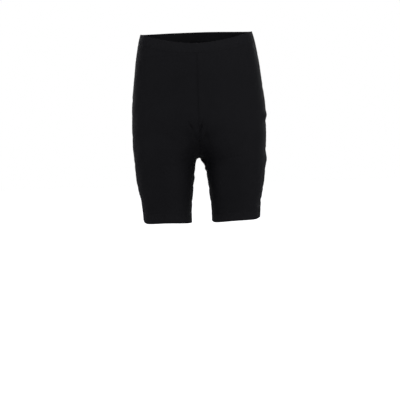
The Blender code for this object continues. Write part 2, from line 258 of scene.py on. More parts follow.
# Sewing. Rows of cover stitch are measured down from their trim's top edge. Seams end short of the crotch.
THREAD_RADIUS = 0.00017
THREAD_UNEVENNESS = 0.08
THREAD_SEED = 3
THREAD_SIDES = 5
THREAD_STEPS = 4
THREAD_BOW = 0.28
THREAD_LIFT = 2.2
SEAM_STITCH = 0.0023
SEAM_WIDTH = 0.0052
SEAM_CROWN = 0.0006
SLANT_SHARE = 0.3
ROW_STITCH_SHARE = 0.42
RISE_SEAM_END = 0.004
INSEAM_END = 0.006
COVER_STITCH = 0.0026
COVER_GAP = 0.0005
BAND_ROWS = (0.0205, 0.0240)
BAND_INNER_ROWS = (0.0224,)
HEM_ROWS = (0.0022, 0.0056)

# Fabrics and thread. A knit's columns and rows are in metres, and so is the depth of its relief.
Fabric = namedtuple("Fabric", "roughness sheen column_width row_height relief")
CLOTH_FABRIC = Fabric(0.72, 0.006, 0.0008, 0.0006, 0.00016)
TRIM_FABRIC = Fabric(0.76, 0.009, 0.0009, 0.0007, 0.00018)
FABRIC_SPECULAR = 0.035
RELIEF_STRENGTH = 0.5
LOOP_SLANT = -0.7
LOOP_ROUNDNESS = 3.0
LOOP_DEPTH = 0.4
# Painted light and shade on the knit: the loops' tops lighter and their hollows darker in the base colour
PAINTED_LOOP_LIGHT = 1.12
PAINTED_HOLLOW_SHADE = -0.35
WEAR_ROUGHNESS = 0.10
SHEEN_ROUGHNESS = 0.35
SHEEN_TINT = (0.74, 0.78, 1.0, 1.0)
THREAD_ROUGHNESS = 0.66
THREAD_SPECULAR = 0.08
THREAD_SHEEN = 0.012
TWIST_SCALE = 1500.0
TWIST_STRENGTH = 0.35
TWIST_RELIEF = 0.00005
CLOUD_SCALE = 22.0
STREAK_SCALE = (900.0, 900.0, 24.0)
FABRIC_DYE = {"cloudiness": 0.10, "streaks": 0.08}
THREAD_DYE = {"cloudiness": 0.16, "streaks": 0.04}

# The photograph's camera, with its angles in degrees, in a plain studio
AIM = (-0.0034, 0.0, -0.4465)
CAMERA_DISTANCE = 3.0
CAMERA_PITCH = 6.3
CAMERA_ROLL = -1.75
LENS = 100.0
SENSOR = 36.0
FLOOR_HALF = 6.0
FLOOR_HEIGHT = -0.99
FLOOR_SEEN = 0.92
FLOOR_BOUNCE = 0.52
FLOOR_GLOW = 0.95
FLOOR_ROUGHNESS = 0.85
STUDIO_COLOUR = (0.80, 0.80, 1.0, 1.0)
STUDIO_STRENGTH = 0.14

# Softboxes, which all face one point: high in front and behind, low in front, at the flanks and behind them
LIT_POINT = (0.0, 0.0, -0.25)
Softbox = namedtuple("Softbox", "name x y z width height watts")
SOFTBOXES = (
    Softbox("key_softbox", 0.1, -2.2, 2.1, 1.6, 1.6, 52.0),
    Softbox("fill_softbox", 1.2, -2.6, -0.3, 1.6, 1.0, 12.0),
    Softbox("back_softbox", 0.7, 2.2, 2.4, 1.4, 1.4, 38.0),
    Softbox("left_flank_softbox", 2.5, -0.5, 0.2, 1.0, 2.0, 17.0),
    Softbox("left_edge_softbox", 1.5, 2.2, 0.5, 0.9, 1.8, 18.0),
    Softbox("right_flank_softbox", -2.5, -0.5, 0.2, 1.0, 2.0, 17.0),
    Softbox("right_edge_softbox", -1.5, 2.2, 0.5, 0.9, 1.8, 18.0),
)


def slot_colour(slot):
    """The record's colour for a material slot, as red, green, blue and alpha."""
    for row in frame["record"]["materials"]:
        if row["slot"] == slot:
            return (*row["base_color"][:3], 1.0)
    raise ValueError(slot)


@lru_cache(maxsize=None)
def section_bends():
    """Second derivatives that carry a smooth curve through every column of the section table."""
    rows = np.array(SECTIONS)
    gaps = np.diff(rows[:, 0])
    steepness = np.diff(rows, axis=0) / gaps[:, None]
    size = len(rows)
    matrix = np.eye(size)
    right_side = np.zeros(rows.shape)
    for k in range(1, size - 1):
        matrix[k, k - 1:k + 2] = gaps[k - 1], 2 * (gaps[k - 1] + gaps[k]), gaps[k]
        right_side[k] = 6 * (steepness[k] - steepness[k - 1])
    return np.linalg.solve(matrix, right_side)


@lru_cache(maxsize=None)
def section_at(height):
    """The section at any height, on smooth curves through the rows of the table."""
    k = max(j for j in range(len(SECTIONS) - 1) if j == 0 or SECTIONS[j].height >= height)
    upper, lower = np.array(SECTIONS[k]), np.array(SECTIONS[k + 1])
    bends = section_bends()
    gap = lower[0] - upper[0]
    down = (height - upper[0]) / gap
    up = 1 - down
    curve = (up ** 3 - up) * bends[k] + (down ** 3 - down) * bends[k + 1]
    values = up * upper + down * lower + curve * gap ** 2 / 6
    return Section(*values)._replace(height=height)


def parting(at):
    """How far a leg ring's inner edge clears the centre line: negative while the halves still meet there."""
    return 2 * at.leg_x - math.hypot(at.half_width, at.bridge) - at.bridge


@lru_cache(maxsize=None)
def crotch_height():
    """The height at which the body ring parts into two leg rings."""
    high, low = (SECTIONS[row].height for row in CROTCH_ROWS)
    for _ in range(HALVINGS):
        middle = (high + low) / 2
        if parting(section_at(middle)) < 0:
            high = middle
        else:
            low = middle
    return (high + low) / 2


@lru_cache(maxsize=None)
def crotch_girth(facing):
    """The length of the front or back quarter of the ring that passes through the crotch."""
    _, girths = quarter_ring(section_at(crotch_height()), facing)
    return girths[0]


@lru_cache(maxsize=None)
def even_columns():
    """Shares of a quarter ring, 1 at its middle edge and 0 at its side seam, with extra ones beside both."""
    cells = np.linspace(1, 0, QUARTER_CELLS + 1)
    close = np.array(BESIDE_SEAM) / QUARTER_GIRTH
    return np.unique(np.concatenate([cells[1:-1], [0.0, 1.0], close, 1 - close]))[::-1]


def column_shares(height, length, facing):
    """Where the columns cross a quarter ring: closed up at its middle edge just above the crotch."""
    even = even_columns()
    above = height - crotch_height()
    if above < TINY or above > EVEN_COLUMNS_ABOVE:
        return even
    full = crotch_girth(facing)
    lost = max(TINY, 1 - length / full)
    power = min(COLUMN_POWER, CLOSEST_COLUMNS / lost)
    fade = min(1, 2 - 2 * above / EVEN_COLUMNS_ABOVE)
    power = 1 + (power - 1) * fade
    return (even - lost * even ** power) / (1 - lost)


def quarter_ring(at, facing):
    """Points of the front or back quarter of a ring, and each one's distance round it from the side seam."""
    outer = math.hypot(at.half_width, at.bridge)
    radius = outer - at.leg_x
    depth = at.front if facing == FRONT else at.back
    end = math.acos(max(-1.0, min(1.0, (at.bridge - at.leg_x) / radius)))

    def places(turns):
        spread = at.leg_x + radius * np.cos(turns)
        lean = np.sin(turns) ** 2
        x = np.sqrt(np.maximum(spread ** 2 - at.bridge ** 2, 0))
        y = at.seam_y + facing * depth * np.sin(turns)
        tip = -at.front_dip if facing == FRONT else at.back_lift
        z = at.height + tip * lean - at.inner_drop * (outer - spread) / (2 * radius)
        return np.stack([x, y, z], axis=1)

    share = np.linspace(0, 1, GIRTH_SAMPLES)
    turns = end * share * (2 - share)
    steps = np.linalg.norm(np.diff(places(turns), axis=0), axis=1)
    girth = np.concatenate([[0], np.cumsum(steps)])
    wanted = girth[-1] * column_shares(at.height, girth[-1], facing)
    return places(np.interp(wanted, girth, turns)), wanted


def flipped(points, side):
    """Points or directions of the wearer's left half, as they are on the given side."""
    return points * (side, 1.0, 1.0)


def half_grid(heights):
    """Rows of points over the wearer's left half, from the front's middle edge round to the back's.

    Returns the points, their outward normals and their distances round the shell from the side seam.
    """
    crotch = crotch_height()
    points, girths = [], []
    for height in heights:
        at = section_at(height)
        front, front_girth = quarter_ring(at, FRONT)
        back, back_girth = quarter_ring(at, BACK)
        points.append(np.concatenate([front, back[-2::-1]]))
        girths.append(np.concatenate([-front_girth, back_girth[-2::-1]]))
    points, girths = np.array(points), np.array(girths)
    above = np.array(heights)[:, None] > crotch - TINY
    before = np.where(above, flipped(points[:, 1], RIGHT), points[:, -2])
    after = np.where(above, flipped(points[:, -2], RIGHT), points[:, 1])
    padded = np.concatenate([before[:, None], points, after[:, None]], axis=1)
    round_shell = padded[:, 2:] - padded[:, :-2]
    down_shell = np.gradient(points, axis=0)
    normals = np.cross(down_shell, round_shell)
    normals /= np.linalg.norm(normals, axis=2)[:, :, None]
    for k, height in enumerate(heights):
        if height > crotch - TINY:
            normals[k, [0, -1], 0] = 0.0
        if abs(height - crotch) < TINY:
            normals[k, [0, -1]] = 0.0, 0.0, -1.0
    return points, normals, girths


def measured_lines(heights, girths, side):
    """For each line that a fold is placed from, how far round the shell each point lies from it."""
    columns = np.arange(girths.shape[1])
    middle = girths.shape[1] // 2
    is_front = (columns <= middle)[None, :]
    is_back = (columns >= middle)[None, :]
    from_front = girths - girths[:, :1]
    from_back = girths[:, -1:] - girths
    name = "left" if side == LEFT else "right"
    below = heights < crotch_height()
    return {
        "front": np.where(is_front, side * from_front, FAR),
        "back": np.where(is_back, side * from_back, FAR),
        name + " side": girths,
        name + " inseam": np.where(below, np.where(is_front, -from_front, from_back), FAR),
    }


def folds_rise(folds, heights, measured, fade):
    """How far a table of folds lifts or sinks each point, with nothing left at the trims' edges."""
    rise = np.zeros(heights.shape)
    for fold in folds:
        if fold.line not in measured:
            continue
        round_shell = measured[fold.line] - fold.girth
        up_shell = heights - fold.height
        lean = math.radians(fold.lean)
        along = round_shell * math.cos(lean) + up_shell * math.sin(lean)
        across = up_shell * math.cos(lean) - round_shell * math.sin(lean)
        across = across - fold.bow * (1 - (2 * along / fold.length) ** 2)
        taper = np.cos(np.clip(np.abs(along) / fold.length, 0, 0.5) * math.pi) ** 2
        rise += fold.rise * taper * np.exp(-(across / fold.width) ** 2)
    from_trim = np.minimum(WAIST - BAND_HEIGHT - heights, heights - LEG_END - HEM_HEIGHT)
    return rise * np.clip(from_trim / fade, 0, 1)


@lru_cache(maxsize=None)
def cloth_waves():
    """Directions, phases and sizes of the waves that make the cloth slightly uneven."""
    rng = np.random.default_rng(WAVE_SEED)
    lengths = np.exp(rng.uniform(math.log(WAVE_LENGTHS[0]), math.log(WAVE_LENGTHS[1]), WAVE_COUNT))
    directions = rng.normal(size=(WAVE_COUNT, 3)) * WAVE_BIAS
    directions /= np.linalg.norm(directions, axis=1)[:, None]
    phases = rng.uniform(0, 2 * math.pi, WAVE_COUNT)
    sizes = lengths / lengths.mean()
    return directions * (2 * math.pi / lengths)[:, None], phases, sizes / np.sqrt((sizes ** 2).sum() / 2)


def uneven(points):
    """The slight unevenness at each point, the same wherever two pieces meet."""
    turns, phases, sizes = cloth_waves()
    return WAVE_RISE * (np.sin(points @ turns.T + phases) * sizes).sum(axis=-1)


def ripple(distance, lengths, phase):
    """A run of puckers along a seam, uneven because its waves differ in length."""
    waves = [np.sin(2 * math.pi * distance / length + phase * (k + 1)) for k, length in enumerate(lengths)]
    return sum(waves) / len(waves)


def seam_rise(heights, girths, side):
    """The groove along each seam of a panel and the puckers beside it."""
    crotch = crotch_height()
    from_middle = np.minimum(girths - girths[:, :1], girths[:, -1:] - girths)
    from_side = np.abs(girths)
    rise = np.zeros(girths.shape)
    for distance, phase, gathered in ((from_side, 0.7 + side, 1.0), (from_middle, 2.1, 0.6)):
        groove = SEAM_GROOVE * np.exp(-(distance / GROOVE_HALF_WIDTH) ** 2)
        pucker = SEAM_PUCKER * ripple(heights, SEAM_PUCKER_WAVES, phase)
        rise += gathered * pucker * np.exp(-(distance / SEAM_PUCKER_REACH) ** 2) - groove
    near_crotch = np.exp(-((heights - crotch) / CROTCH_REACH) ** 2)
    near_crotch = near_crotch * np.exp(-(from_middle / CROTCH_REACH) ** 2)
    return rise * (1 - CROTCH_CALM * near_crotch)


def gathered_rise(points, heights):
    """Puckers in the cloth just below the band and just above the hems, which draw it in."""
    turn = np.arctan2(points[..., 1], points[..., 0])
    leg_turn = np.arctan2(points[..., 1], np.abs(points[..., 0]) - LEG_MIDDLE)
    below_band = np.clip(WAIST - BAND_HEIGHT - heights, 0, None)
    over_hem = np.clip(heights - LEG_END - HEM_HEIGHT, 0, None)
    band = BAND_PUCKER * ripple(turn, BAND_PUCKER_TURNS, phase=1.3)
    hem = HEM_PUCKER * ripple(leg_turn, HEM_PUCKER_TURNS, phase=0.4)
    band = band * np.exp(-(below_band / BAND_PUCKER_REACH) ** 2)
    return band + hem * np.exp(-(over_hem / HEM_PUCKER_REACH) ** 2)


def row_heights():
    """Heights of a panel's rows from the band to the hem, closest together at the crotch."""
    crotch = crotch_height()
    top = WAIST - BAND_HEIGHT + SEAM_LAP
    bottom = LEG_END + HEM_HEIGHT - SEAM_LAP
    upper = [(k / ROWS_ABOVE_CROTCH) ** POWER_ABOVE_CROTCH for k in range(ROWS_ABOVE_CROTCH, 0, -1)]
    lower = [(k / ROWS_BELOW_CROTCH) ** POWER_BELOW_CROTCH for k in range(1, ROWS_BELOW_CROTCH + 1)]
    above = [crotch + (top - crotch) * share for share in upper]
    below = [crotch + (bottom - crotch) * share for share in lower]
    return above + [crotch] + below


@lru_cache(maxsize=None)
def cloth_half(side):
    """One half of the cloth with its folds: outer points, outward normals, girths and heights."""
    rows = row_heights()
    points, normals, girths = half_grid(rows)
    heights = np.array(rows)[:, None] * np.ones(girths.shape)
    measured = measured_lines(heights, girths, side)
    points, normals = flipped(points, side), flipped(normals, side)
    rise = folds_rise(LARGE_FOLDS, heights, measured, LARGE_FADE)
    rise += folds_rise(FINE_CREASES, heights, measured, FINE_FADE)
    rise += seam_rise(heights, girths, side) + gathered_rise(points, heights) + uneven(points)
    return points + normals * rise[:, :, None], normals, girths, heights


def add_object(name, data):
    """An object in the scene, at the origin."""
    thing = bpy.data.objects.new(name, data)
    bpy.context.scene.collection.objects.link(thing)
    return thing


def add_piece(name, mesh, material):
    """A finished piece, smooth but for its cut edges."""
    mesh.shade_smooth()
    mesh.set_sharp_from_angle(angle=math.radians(SHARP_EDGE))
    mesh.materials.append(material)
    return add_object(name, mesh)


def mesh_from(name, vertices, faces, layout):
    """A closed mesh with its faces pointing out. layout gives each face corner's place on the flat cloth."""
    vertices, faces, layout = np.asarray(vertices), np.asarray(faces), np.asarray(layout)
    a, b, c, d = (vertices[faces[:, k]] for k in range(4))
    volume = (np.cross(a, b) * c).sum() + (np.cross(a, c) * d).sum()
    if volume < 0:
        faces, layout = faces[:, ::-1], layout[:, ::-1]
    mesh = bpy.data.meshes.new(name)
    mesh.from_pydata(vertices.tolist(), [], faces.tolist())
    flat = mesh.uv_layers.new(name="flat_cloth")
    flat.data.foreach_set("uv", np.ascontiguousarray(layout, dtype=np.float32).reshape(-1))
    mesh.update()
    return mesh


def add_panel(name, side, facing, material):
    """One leg's front or back panel: a thin closed shell of cloth between its seams."""
    outer, normals, girths, heights = cloth_half(side)
    middle = outer.shape[1] // 2
    chosen = slice(0, middle + 1) if facing == FRONT else slice(middle, None)
    outer = outer[:, chosen].copy()
    inner = outer - normals[:, chosen] * CLOTH_THICK
    girths, heights = girths[:, chosen], heights[:, chosen]
    crotch = crotch_height()
    above = heights[:, 0] > crotch - TINY
    below = heights[:, 0] < crotch + TINY
    seam_y = np.array([section_at(height).seam_y for height in heights[:, 0]])
    edge_y = seam_y - facing * SEAM_LAP / 2
    centre, seam = (0, -1) if facing == FRONT else (-1, 0)
    for grid in (outer, inner):
        grid[:, seam, 1] = edge_y
        grid[above, centre, 0] = -side * SEAM_LAP / 2
        grid[below, centre, 1] = edge_y[below]
    rows, columns = outer.shape[:2]
    count = rows * columns
    index = np.arange(count).reshape(rows, columns)
    quads = np.stack([index[:-1, :-1], index[:-1, 1:], index[1:, 1:], index[1:, :-1]], axis=-1).reshape(-1, 4)
    edge = np.concatenate([index[0], index[1:, -1], index[-1, -2::-1], index[-2:0:-1, 0]])
    after = np.roll(edge, -1)
    rim = np.stack([edge, edge + count, after + count, after], axis=-1)
    faces = np.concatenate([quads, quads[:, ::-1] + count, rim])
    flat = np.stack([girths.reshape(-1), heights.reshape(-1)], axis=1)
    layout = np.concatenate([flat, flat])[faces]
    vertices = np.concatenate([outer.reshape(-1, 3), inner.reshape(-1, 3)])
    return add_piece(name, mesh_from(name, vertices, faces, layout), material)


def hem_sag(ring, height, side):
    """How far the cloth of a hem hangs below its even line: all of it at the lower edge, none at the top."""
    share = min(1.0, max(0.0, (LEG_END + HEM_HEIGHT - height) / HEM_HEIGHT))
    turn = np.degrees(np.arctan2(ring[:, 1], side * ring[:, 0] - LEG_MIDDLE))
    sag = np.zeros(len(ring))
    for row in HEM_SAGS:
        if row.side == side:
            away = (turn - row.angle + 180) % 360 - 180
            sag += row.drop * np.exp(-(away / row.spread) ** 2)
    return sag * share ** SAG_POWER


@lru_cache(maxsize=None)
def trim_ring(height, side):
    """A ring of the cloth: points, outward normals, girths and whole girth. Side 0 is the whole waist."""
    points, normals, girths = half_grid((height + NORMAL_REACH, height, height - NORMAL_REACH))
    ring, facing, girth = points[1], normals[1], girths[1] - girths[1][0]
    total = girth[-1]
    if side == 0:
        ring = np.concatenate([ring, flipped(ring, RIGHT)[-2:0:-1]])
        facing = np.concatenate([facing, flipped(facing, RIGHT)[-2:0:-1]])
        girth = np.concatenate([girth, 2 * total - girth[-2:0:-1]])
        total = 2 * total
    else:
        ring, facing, girth = flipped(ring, side)[:-1], flipped(facing, side)[:-1], girth[:-1]
    level = np.full(len(ring), height)
    lift = uneven(ring) + gathered_rise(ring, level)
    ring = ring + facing * lift[:, None]
    if side != 0:
        ring[:, 2] -= hem_sag(ring, height, side)
    return ring, facing, girth, total


def round_corner(roll, edge, down, face, into):
    """A rounded corner of a trim's cross-section, from its end at "edge" round to its face at "face"."""
    turns = [math.pi / 2 * k / ROLL_STEPS for k in range(ROLL_STEPS, -1, -1)]
    return [(edge + down * roll * (1 - math.sin(t)), face + into * roll * (1 - math.cos(t))) for t in turns]


def rounded_profile(height, thick, top_roll, low_roll):
    """A trim's closed cross-section: how far below its top edge, and how far out from the cloth's face."""
    outer, inner = TRIM_PROUD, TRIM_PROUD - thick
    profile = round_corner(top_roll, 0.0, 1, outer, -1)
    profile += [(height * share, outer) for share in OUTER_FACE_SHARES]
    profile += round_corner(low_roll, height, -1, outer, -1)[::-1]
    profile += round_corner(low_roll, height, -1, inner, 1)
    profile += [(height * share, inner) for share in INNER_FACE_SHARES]
    profile += round_corner(top_roll, 0.0, 1, inner, 1)[::-1]
    return profile


def band_relief(girth, total, below_top):
    """The waistband's swell along its middle and the small uneven puckers that its elastic makes."""
    within = math.sin(math.pi * min(1.0, max(0.0, below_top / BAND_HEIGHT)))
    puckers = ripple(girth / total, ELASTIC_WAVES, phase=0.9)
    return BAND_SWELL * within + ELASTIC_PUCKER * within ** 0.5 * puckers


def hem_relief(girth, total, below_top):
    """A hem's slight swell, and the way its lower edge waves in and out."""
    share = min(1.0, max(0.0, below_top / HEM_HEIGHT))
    waves = ripple(girth / total, HEM_EDGE_WAVES, phase=1.8)
    return HEM_SWELL * math.sin(math.pi * share) + HEM_WAVE * share ** 2 * waves


def add_trim(name, top, profile, side, relief, material):
    """A band of trim whose cross-section is swept round the waist or round one leg."""
    rings, places = [], []
    for below_top, out in profile:
        ring, facing, girth, total = trim_ring(top - below_top, side)
        depth = out + relief(girth, total, below_top)
        rings.append(ring + facing * depth[:, None])
        places.append(np.stack([girth, np.full(len(ring), top - below_top)], axis=1))
    count = len(rings[0])
    k = np.arange(count)
    beside = (k + 1) % count
    faces, layout = [], []
    for r in range(len(rings)):
        other = (r + 1) % len(rings)
        near, far = r * count, other * count
        faces.append(np.stack([near + k, near + beside, far + beside, far + k], axis=1))
        here, there = places[r], places[other]
        here_next, there_next = here[beside].copy(), there[beside].copy()
        here_next[-1, 0] = there_next[-1, 0] = total
        layout.append(np.stack([here, here_next, there_next, there], axis=1))
    mesh = mesh_from(name, np.concatenate(rings), np.concatenate(faces), np.concatenate(layout))
    return add_piece(name, mesh, material)


def add_waistband(material):
    """The elastic casing, with a rounder top edge than lower edge."""
    profile = rounded_profile(BAND_HEIGHT, BAND_THICK, BAND_TOP_ROLL, TRIM_SEAM_ROLL)
    return add_trim("waistband_casing", WAIST, profile, 0, band_relief, material)


def add_hem(name, side, material):
    """A leg hem: the end turned in and stitched, with a rolled lower edge."""
    profile = rounded_profile(HEM_HEIGHT, HEM_THICK, TRIM_SEAM_ROLL, HEM_EDGE_ROLL)
    return add_trim(name, LEG_END + HEM_HEIGHT, profile, side, hem_relief, material)


def new_tree(name, kind, inputs, outputs):
    """A node tree with named sockets. inputs and outputs are (name, socket type, default or None)."""
    tree = bpy.data.node_groups.new(name, kind)
    for direction, sockets in (("INPUT", inputs), ("OUTPUT", outputs)):
        for socket_name, socket_type, default in sockets:
            socket = tree.interface.new_socket(name=socket_name, in_out=direction, socket_type=socket_type)
            if default is not None:
                socket.default_value = default
    return tree, tree.nodes.new("NodeGroupInput"), tree.nodes.new("NodeGroupOutput")


def put(tree, target, value):
    """Feeds a socket from another socket, or gives it a plain value."""
    if isinstance(value, bpy.types.NodeSocket):
        tree.links.new(value, target)
    else:
        target.default_value = value


def socket_name(word):
    """The name of the socket that a keyword stands for: stitch_length for "Stitch length"."""
    return word.replace("_", " ").capitalize()


def add_node(tree, kind, feeds=(), **settings):
    """A node with its settings. feeds gives what goes into its sockets, by their names or numbers."""
    node = tree.nodes.new(kind)
    for setting, value in settings.items():
        setattr(node, setting, value)
    for socket, value in dict(feeds).items():
        put(tree, node.inputs[socket], value)
    return node


def calc(tree, operation, *values):
    """A Math node's result."""
    return add_node(tree, "ShaderNodeMath", enumerate(values), operation=operation).outputs[0]


def vector(tree, x=0.0, y=0.0, z=0.0):
    """A Combine XYZ node's result."""
    return add_node(tree, "ShaderNodeCombineXYZ", enumerate((x, y, z))).outputs[0]


def thread_arc(tree, start, end, lift, radius):
    """A short thread that bows out of the cloth between two points of the stitch's own plane."""
    low = calc(tree, "MULTIPLY", radius, -0.5)
    feeds = {"Resolution": THREAD_STEPS, "Start": vector(tree, *start, low), "End": vector(tree, *end, low)}
    for name, near, far in (("Start Handle", start, end), ("End Handle", end, start)):
        spot = [
            calc(tree, "MULTIPLY_ADD", a, 1 - THREAD_BOW, calc(tree, "MULTIPLY", b, THREAD_BOW))
            for a, b in zip(near, far)
        ]
        feeds[name] = vector(tree, *spot, lift)
    return add_node(tree, "GeometryNodeCurvePrimitiveBezierSegment", feeds, mode="POSITION").outputs["Curve"]


def finish_threads(tree, entry, exit_node, arcs, spacing, radius):
    """Lays one stitch at each step of the path, turned with the path and the cloth, as plain dyed thread."""
    line = add_node(tree, "GeometryNodeMeshToCurve", {"Mesh": entry.outputs["Path"]})
    steps = add_node(tree, "GeometryNodeResampleCurve", {"Curve": line.outputs["Curve"], "Length": spacing},
                     mode="LENGTH")
    ring = add_node(tree, "GeometryNodeCurvePrimitiveCircle", {"Resolution": THREAD_SIDES, "Radius": radius})
    joined = add_node(tree, "GeometryNodeJoinGeometry")
    for arc in arcs:
        tree.links.new(arc, joined.inputs[0])
    thread = add_node(tree, "GeometryNodeCurveToMesh", {
        "Fill Caps": True, "Curve": joined.outputs[0], "Profile Curve": ring.outputs["Curve"]})
    outward = add_node(tree, "GeometryNodeInputNamedAttribute", {"Name": "outward"}, data_type="FLOAT_VECTOR")
    tangent = add_node(tree, "GeometryNodeInputTangent")
    turn = add_node(tree, "FunctionNodeAxesToRotation", {
        "Primary Axis": outward.outputs["Attribute"], "Secondary Axis": tangent.outputs["Tangent"],
    }, primary_axis="Z", secondary_axis="X")
    least, most = (calc(tree, step, 1.0, entry.outputs["Unevenness"]) for step in ("SUBTRACT", "ADD"))
    size = add_node(tree, "FunctionNodeRandomValue", {
        "Min": vector(tree, least, least, least), "Max": vector(tree, most, most, most),
        "Seed": entry.outputs["Seed"],
    }, data_type="FLOAT_VECTOR")
    laid = add_node(tree, "GeometryNodeInstanceOnPoints", {
        "Points": steps.outputs["Curve"], "Instance": thread.outputs["Mesh"],
        "Rotation": turn.outputs["Rotation"], "Scale": size.outputs["Value"]})
    real = add_node(tree, "GeometryNodeRealizeInstances", {"Geometry": laid.outputs["Instances"]})
    finish = add_node(tree, "GeometryNodeSetMaterial", {
        "Geometry": real.outputs["Geometry"], "Material": entry.outputs["Thread"]})
    put(tree, exit_node.inputs["Stitches"], finish.outputs["Geometry"])


THREAD_INPUTS = (
    ("Path", "NodeSocketGeometry", None),
    ("Stitch length", "NodeSocketFloat", COVER_STITCH),
    ("Thread radius", "NodeSocketFloat", THREAD_RADIUS),
    ("Unevenness", "NodeSocketFloat", THREAD_UNEVENNESS),
    ("Seed", "NodeSocketInt", THREAD_SEED),
    ("Thread", "NodeSocketMaterial", None),
)


@lru_cache(maxsize=None)
def needle_row_tree():
    """A row of needle stitches: one short thread after another, with a small hole's gap between them."""
    inputs = (*THREAD_INPUTS, ("Gap", "NodeSocketFloat", COVER_GAP))
    tree, entry, exit_node = new_tree("needle_row", "GeometryNodeTree", inputs,
                                      (("Stitches", "NodeSocketGeometry", None),))
    step, gap, radius = (entry.outputs[name] for name in ("Stitch length", "Gap", "Thread radius"))
    half = calc(tree, "MULTIPLY", calc(tree, "SUBTRACT", step, gap), 0.5)
    back = calc(tree, "MULTIPLY", half, -1.0)
    lift = calc(tree, "MULTIPLY", radius, THREAD_LIFT)
    arc = thread_arc(tree, (back, 0.0), (half, 0.0), lift, radius)
    finish_threads(tree, entry, exit_node, (arc,), step, radius)
    return tree


@lru_cache(maxsize=None)
def flat_seam_tree():
    """A flat seam: slanting threads that cross the join, with a needle row along each side."""
    inputs = (*THREAD_INPUTS, ("Seam width", "NodeSocketFloat", SEAM_WIDTH),
              ("Crown", "NodeSocketFloat", SEAM_CROWN))
    tree, entry, exit_node = new_tree("flat_seam", "GeometryNodeTree", inputs,
                                      (("Stitches", "NodeSocketGeometry", None),))
    step, radius = entry.outputs["Stitch length"], entry.outputs["Thread radius"]
    edge = calc(tree, "MULTIPLY", entry.outputs["Seam width"], 0.5)
    far_edge = calc(tree, "MULTIPLY", edge, -1.0)
    slant = calc(tree, "MULTIPLY", step, SLANT_SHARE)
    back_slant = calc(tree, "MULTIPLY", slant, -1.0)
    half = calc(tree, "MULTIPLY", step, ROW_STITCH_SHARE)
    back = calc(tree, "MULTIPLY", half, -1.0)
    lift = calc(tree, "MULTIPLY", radius, THREAD_LIFT)
    across = thread_arc(tree, (back_slant, far_edge), (slant, edge), entry.outputs["Crown"], radius)
    row = thread_arc(tree, (back, edge), (half, edge), lift, radius)
    far_row = thread_arc(tree, (back, far_edge), (half, far_edge), lift, radius)
    finish_threads(tree, entry, exit_node, (across, row, far_row), step, radius)
    return tree


def path_object(lines):
    """A mesh of open or closed lines. Each is (points, outward normals, whether it closes)."""
    vertices, edges, outward = [], [], []
    for points, normals, closed in lines:
        first = len(vertices)
        vertices += points.tolist()
        outward += normals.tolist()
        last = len(vertices) - 1
        edges += [(k, k + 1) for k in range(first, last)]
        if closed:
            edges.append((last, first))
    mesh = bpy.data.meshes.new("sewing_path")
    mesh.from_pydata(vertices, edges, [])
    stored = mesh.attributes.new("outward", "FLOAT_VECTOR", "POINT")
    stored.data.foreach_set("vector", np.array(outward, dtype=np.float32).reshape(-1))
    return add_object("sewing_path", mesh)


def sew(name, tree, lines, thread, **sizes):
    """Runs a sewing tree along lines and leaves one plain mesh of thread."""
    path = path_object(lines)
    modifier = path.modifiers.new("sewing", "NODES")
    modifier.node_group = tree
    sockets = {item.name: item.identifier for item in tree.interface.items_tree if item.in_out == "INPUT"}
    modifier[sockets["Thread"]] = thread
    for label, value in sizes.items():
        modifier[sockets[socket_name(label)]] = value
    graph = bpy.context.evaluated_depsgraph_get()
    sewn = path.evaluated_get(graph)
    mesh = bpy.data.meshes.new_from_object(sewn, preserve_all_data_layers=True, depsgraph=graph)
    path.modifiers.remove(modifier)
    bpy.data.objects.remove(path)
    mesh.name = name
    mesh.shade_smooth()
    return add_object(name, mesh)


def seam_line(side, which, inside=False):
    """The line of a seam over the folded cloth: "side", "rise front", "rise back" or "inseam"."""
    outer, normals, _, heights = cloth_half(side)
    column = {"side": outer.shape[1] // 2, "rise front": 0, "rise back": -1, "inseam": 0}[which]
    rows = heights[:, 0]
    crotch = crotch_height()
    if which.startswith("rise"):
        rows_kept = rows > crotch + RISE_SEAM_END
    elif which == "inseam":
        rows_kept = rows < crotch - INSEAM_END
    else:
        rows_kept = rows < FAR
    points = outer[rows_kept, column].copy()
    facing = normals[rows_kept, column].copy()
    if which.startswith("rise"):
        points[:, 0] = 0.0
    seat = SEAM_GROOVE
    if inside:
        points = points - facing * (CLOTH_THICK - SEAM_GROOVE)
        facing = -facing
        seat = 0.0
    return points + facing * seat, facing, False


def trim_line(below_top, side, inside=False):
    """A closed line of sewing round the waistband or a hem, on its outer or its inner face."""
    if side == 0:
        top, thick, relief = WAIST, BAND_THICK, band_relief
    else:
        top, thick, relief = LEG_END + HEM_HEIGHT, HEM_THICK, hem_relief
    ring, facing, girth, total = trim_ring(top - below_top, side)
    out = TRIM_PROUD + relief(girth, total, below_top) - (thick if inside else 0.0)
    return ring + facing * out[:, None], -facing if inside else facing, True


def add_sewing(thread):
    """Every line of sewing, on the outer and the inner face of the cloth."""
    flat, row = flat_seam_tree(), needle_row_tree()
    sewn = []
    for side, side_name in SIDES:
        for which, seam in (("side", "side_seam_thread_"), ("inseam", "inseam_thread_")):
            lines = [seam_line(side, which, inside) for inside in (False, True)]
            sewn.append(sew(seam + side_name, flat, lines, thread, stitch_length=SEAM_STITCH))
        lines = [trim_line(below, side, inside) for inside in (False, True) for below in HEM_ROWS]
        sewn.append(sew("hem_thread_" + side_name, row, lines, thread, stitch_length=COVER_STITCH))
    rises = ("rise front", "rise back")
    lines = [seam_line(LEFT, which, inside) for inside in (False, True) for which in rises]
    sewn.append(sew("rise_seam_thread", flat, lines, thread, stitch_length=SEAM_STITCH))
    lines = [trim_line(below, 0) for below in BAND_ROWS]
    lines += [trim_line(below, 0, inside=True) for below in BAND_INNER_ROWS]
    sewn.append(sew("waistband_thread", row, lines, thread, stitch_length=COVER_STITCH))
    return sewn


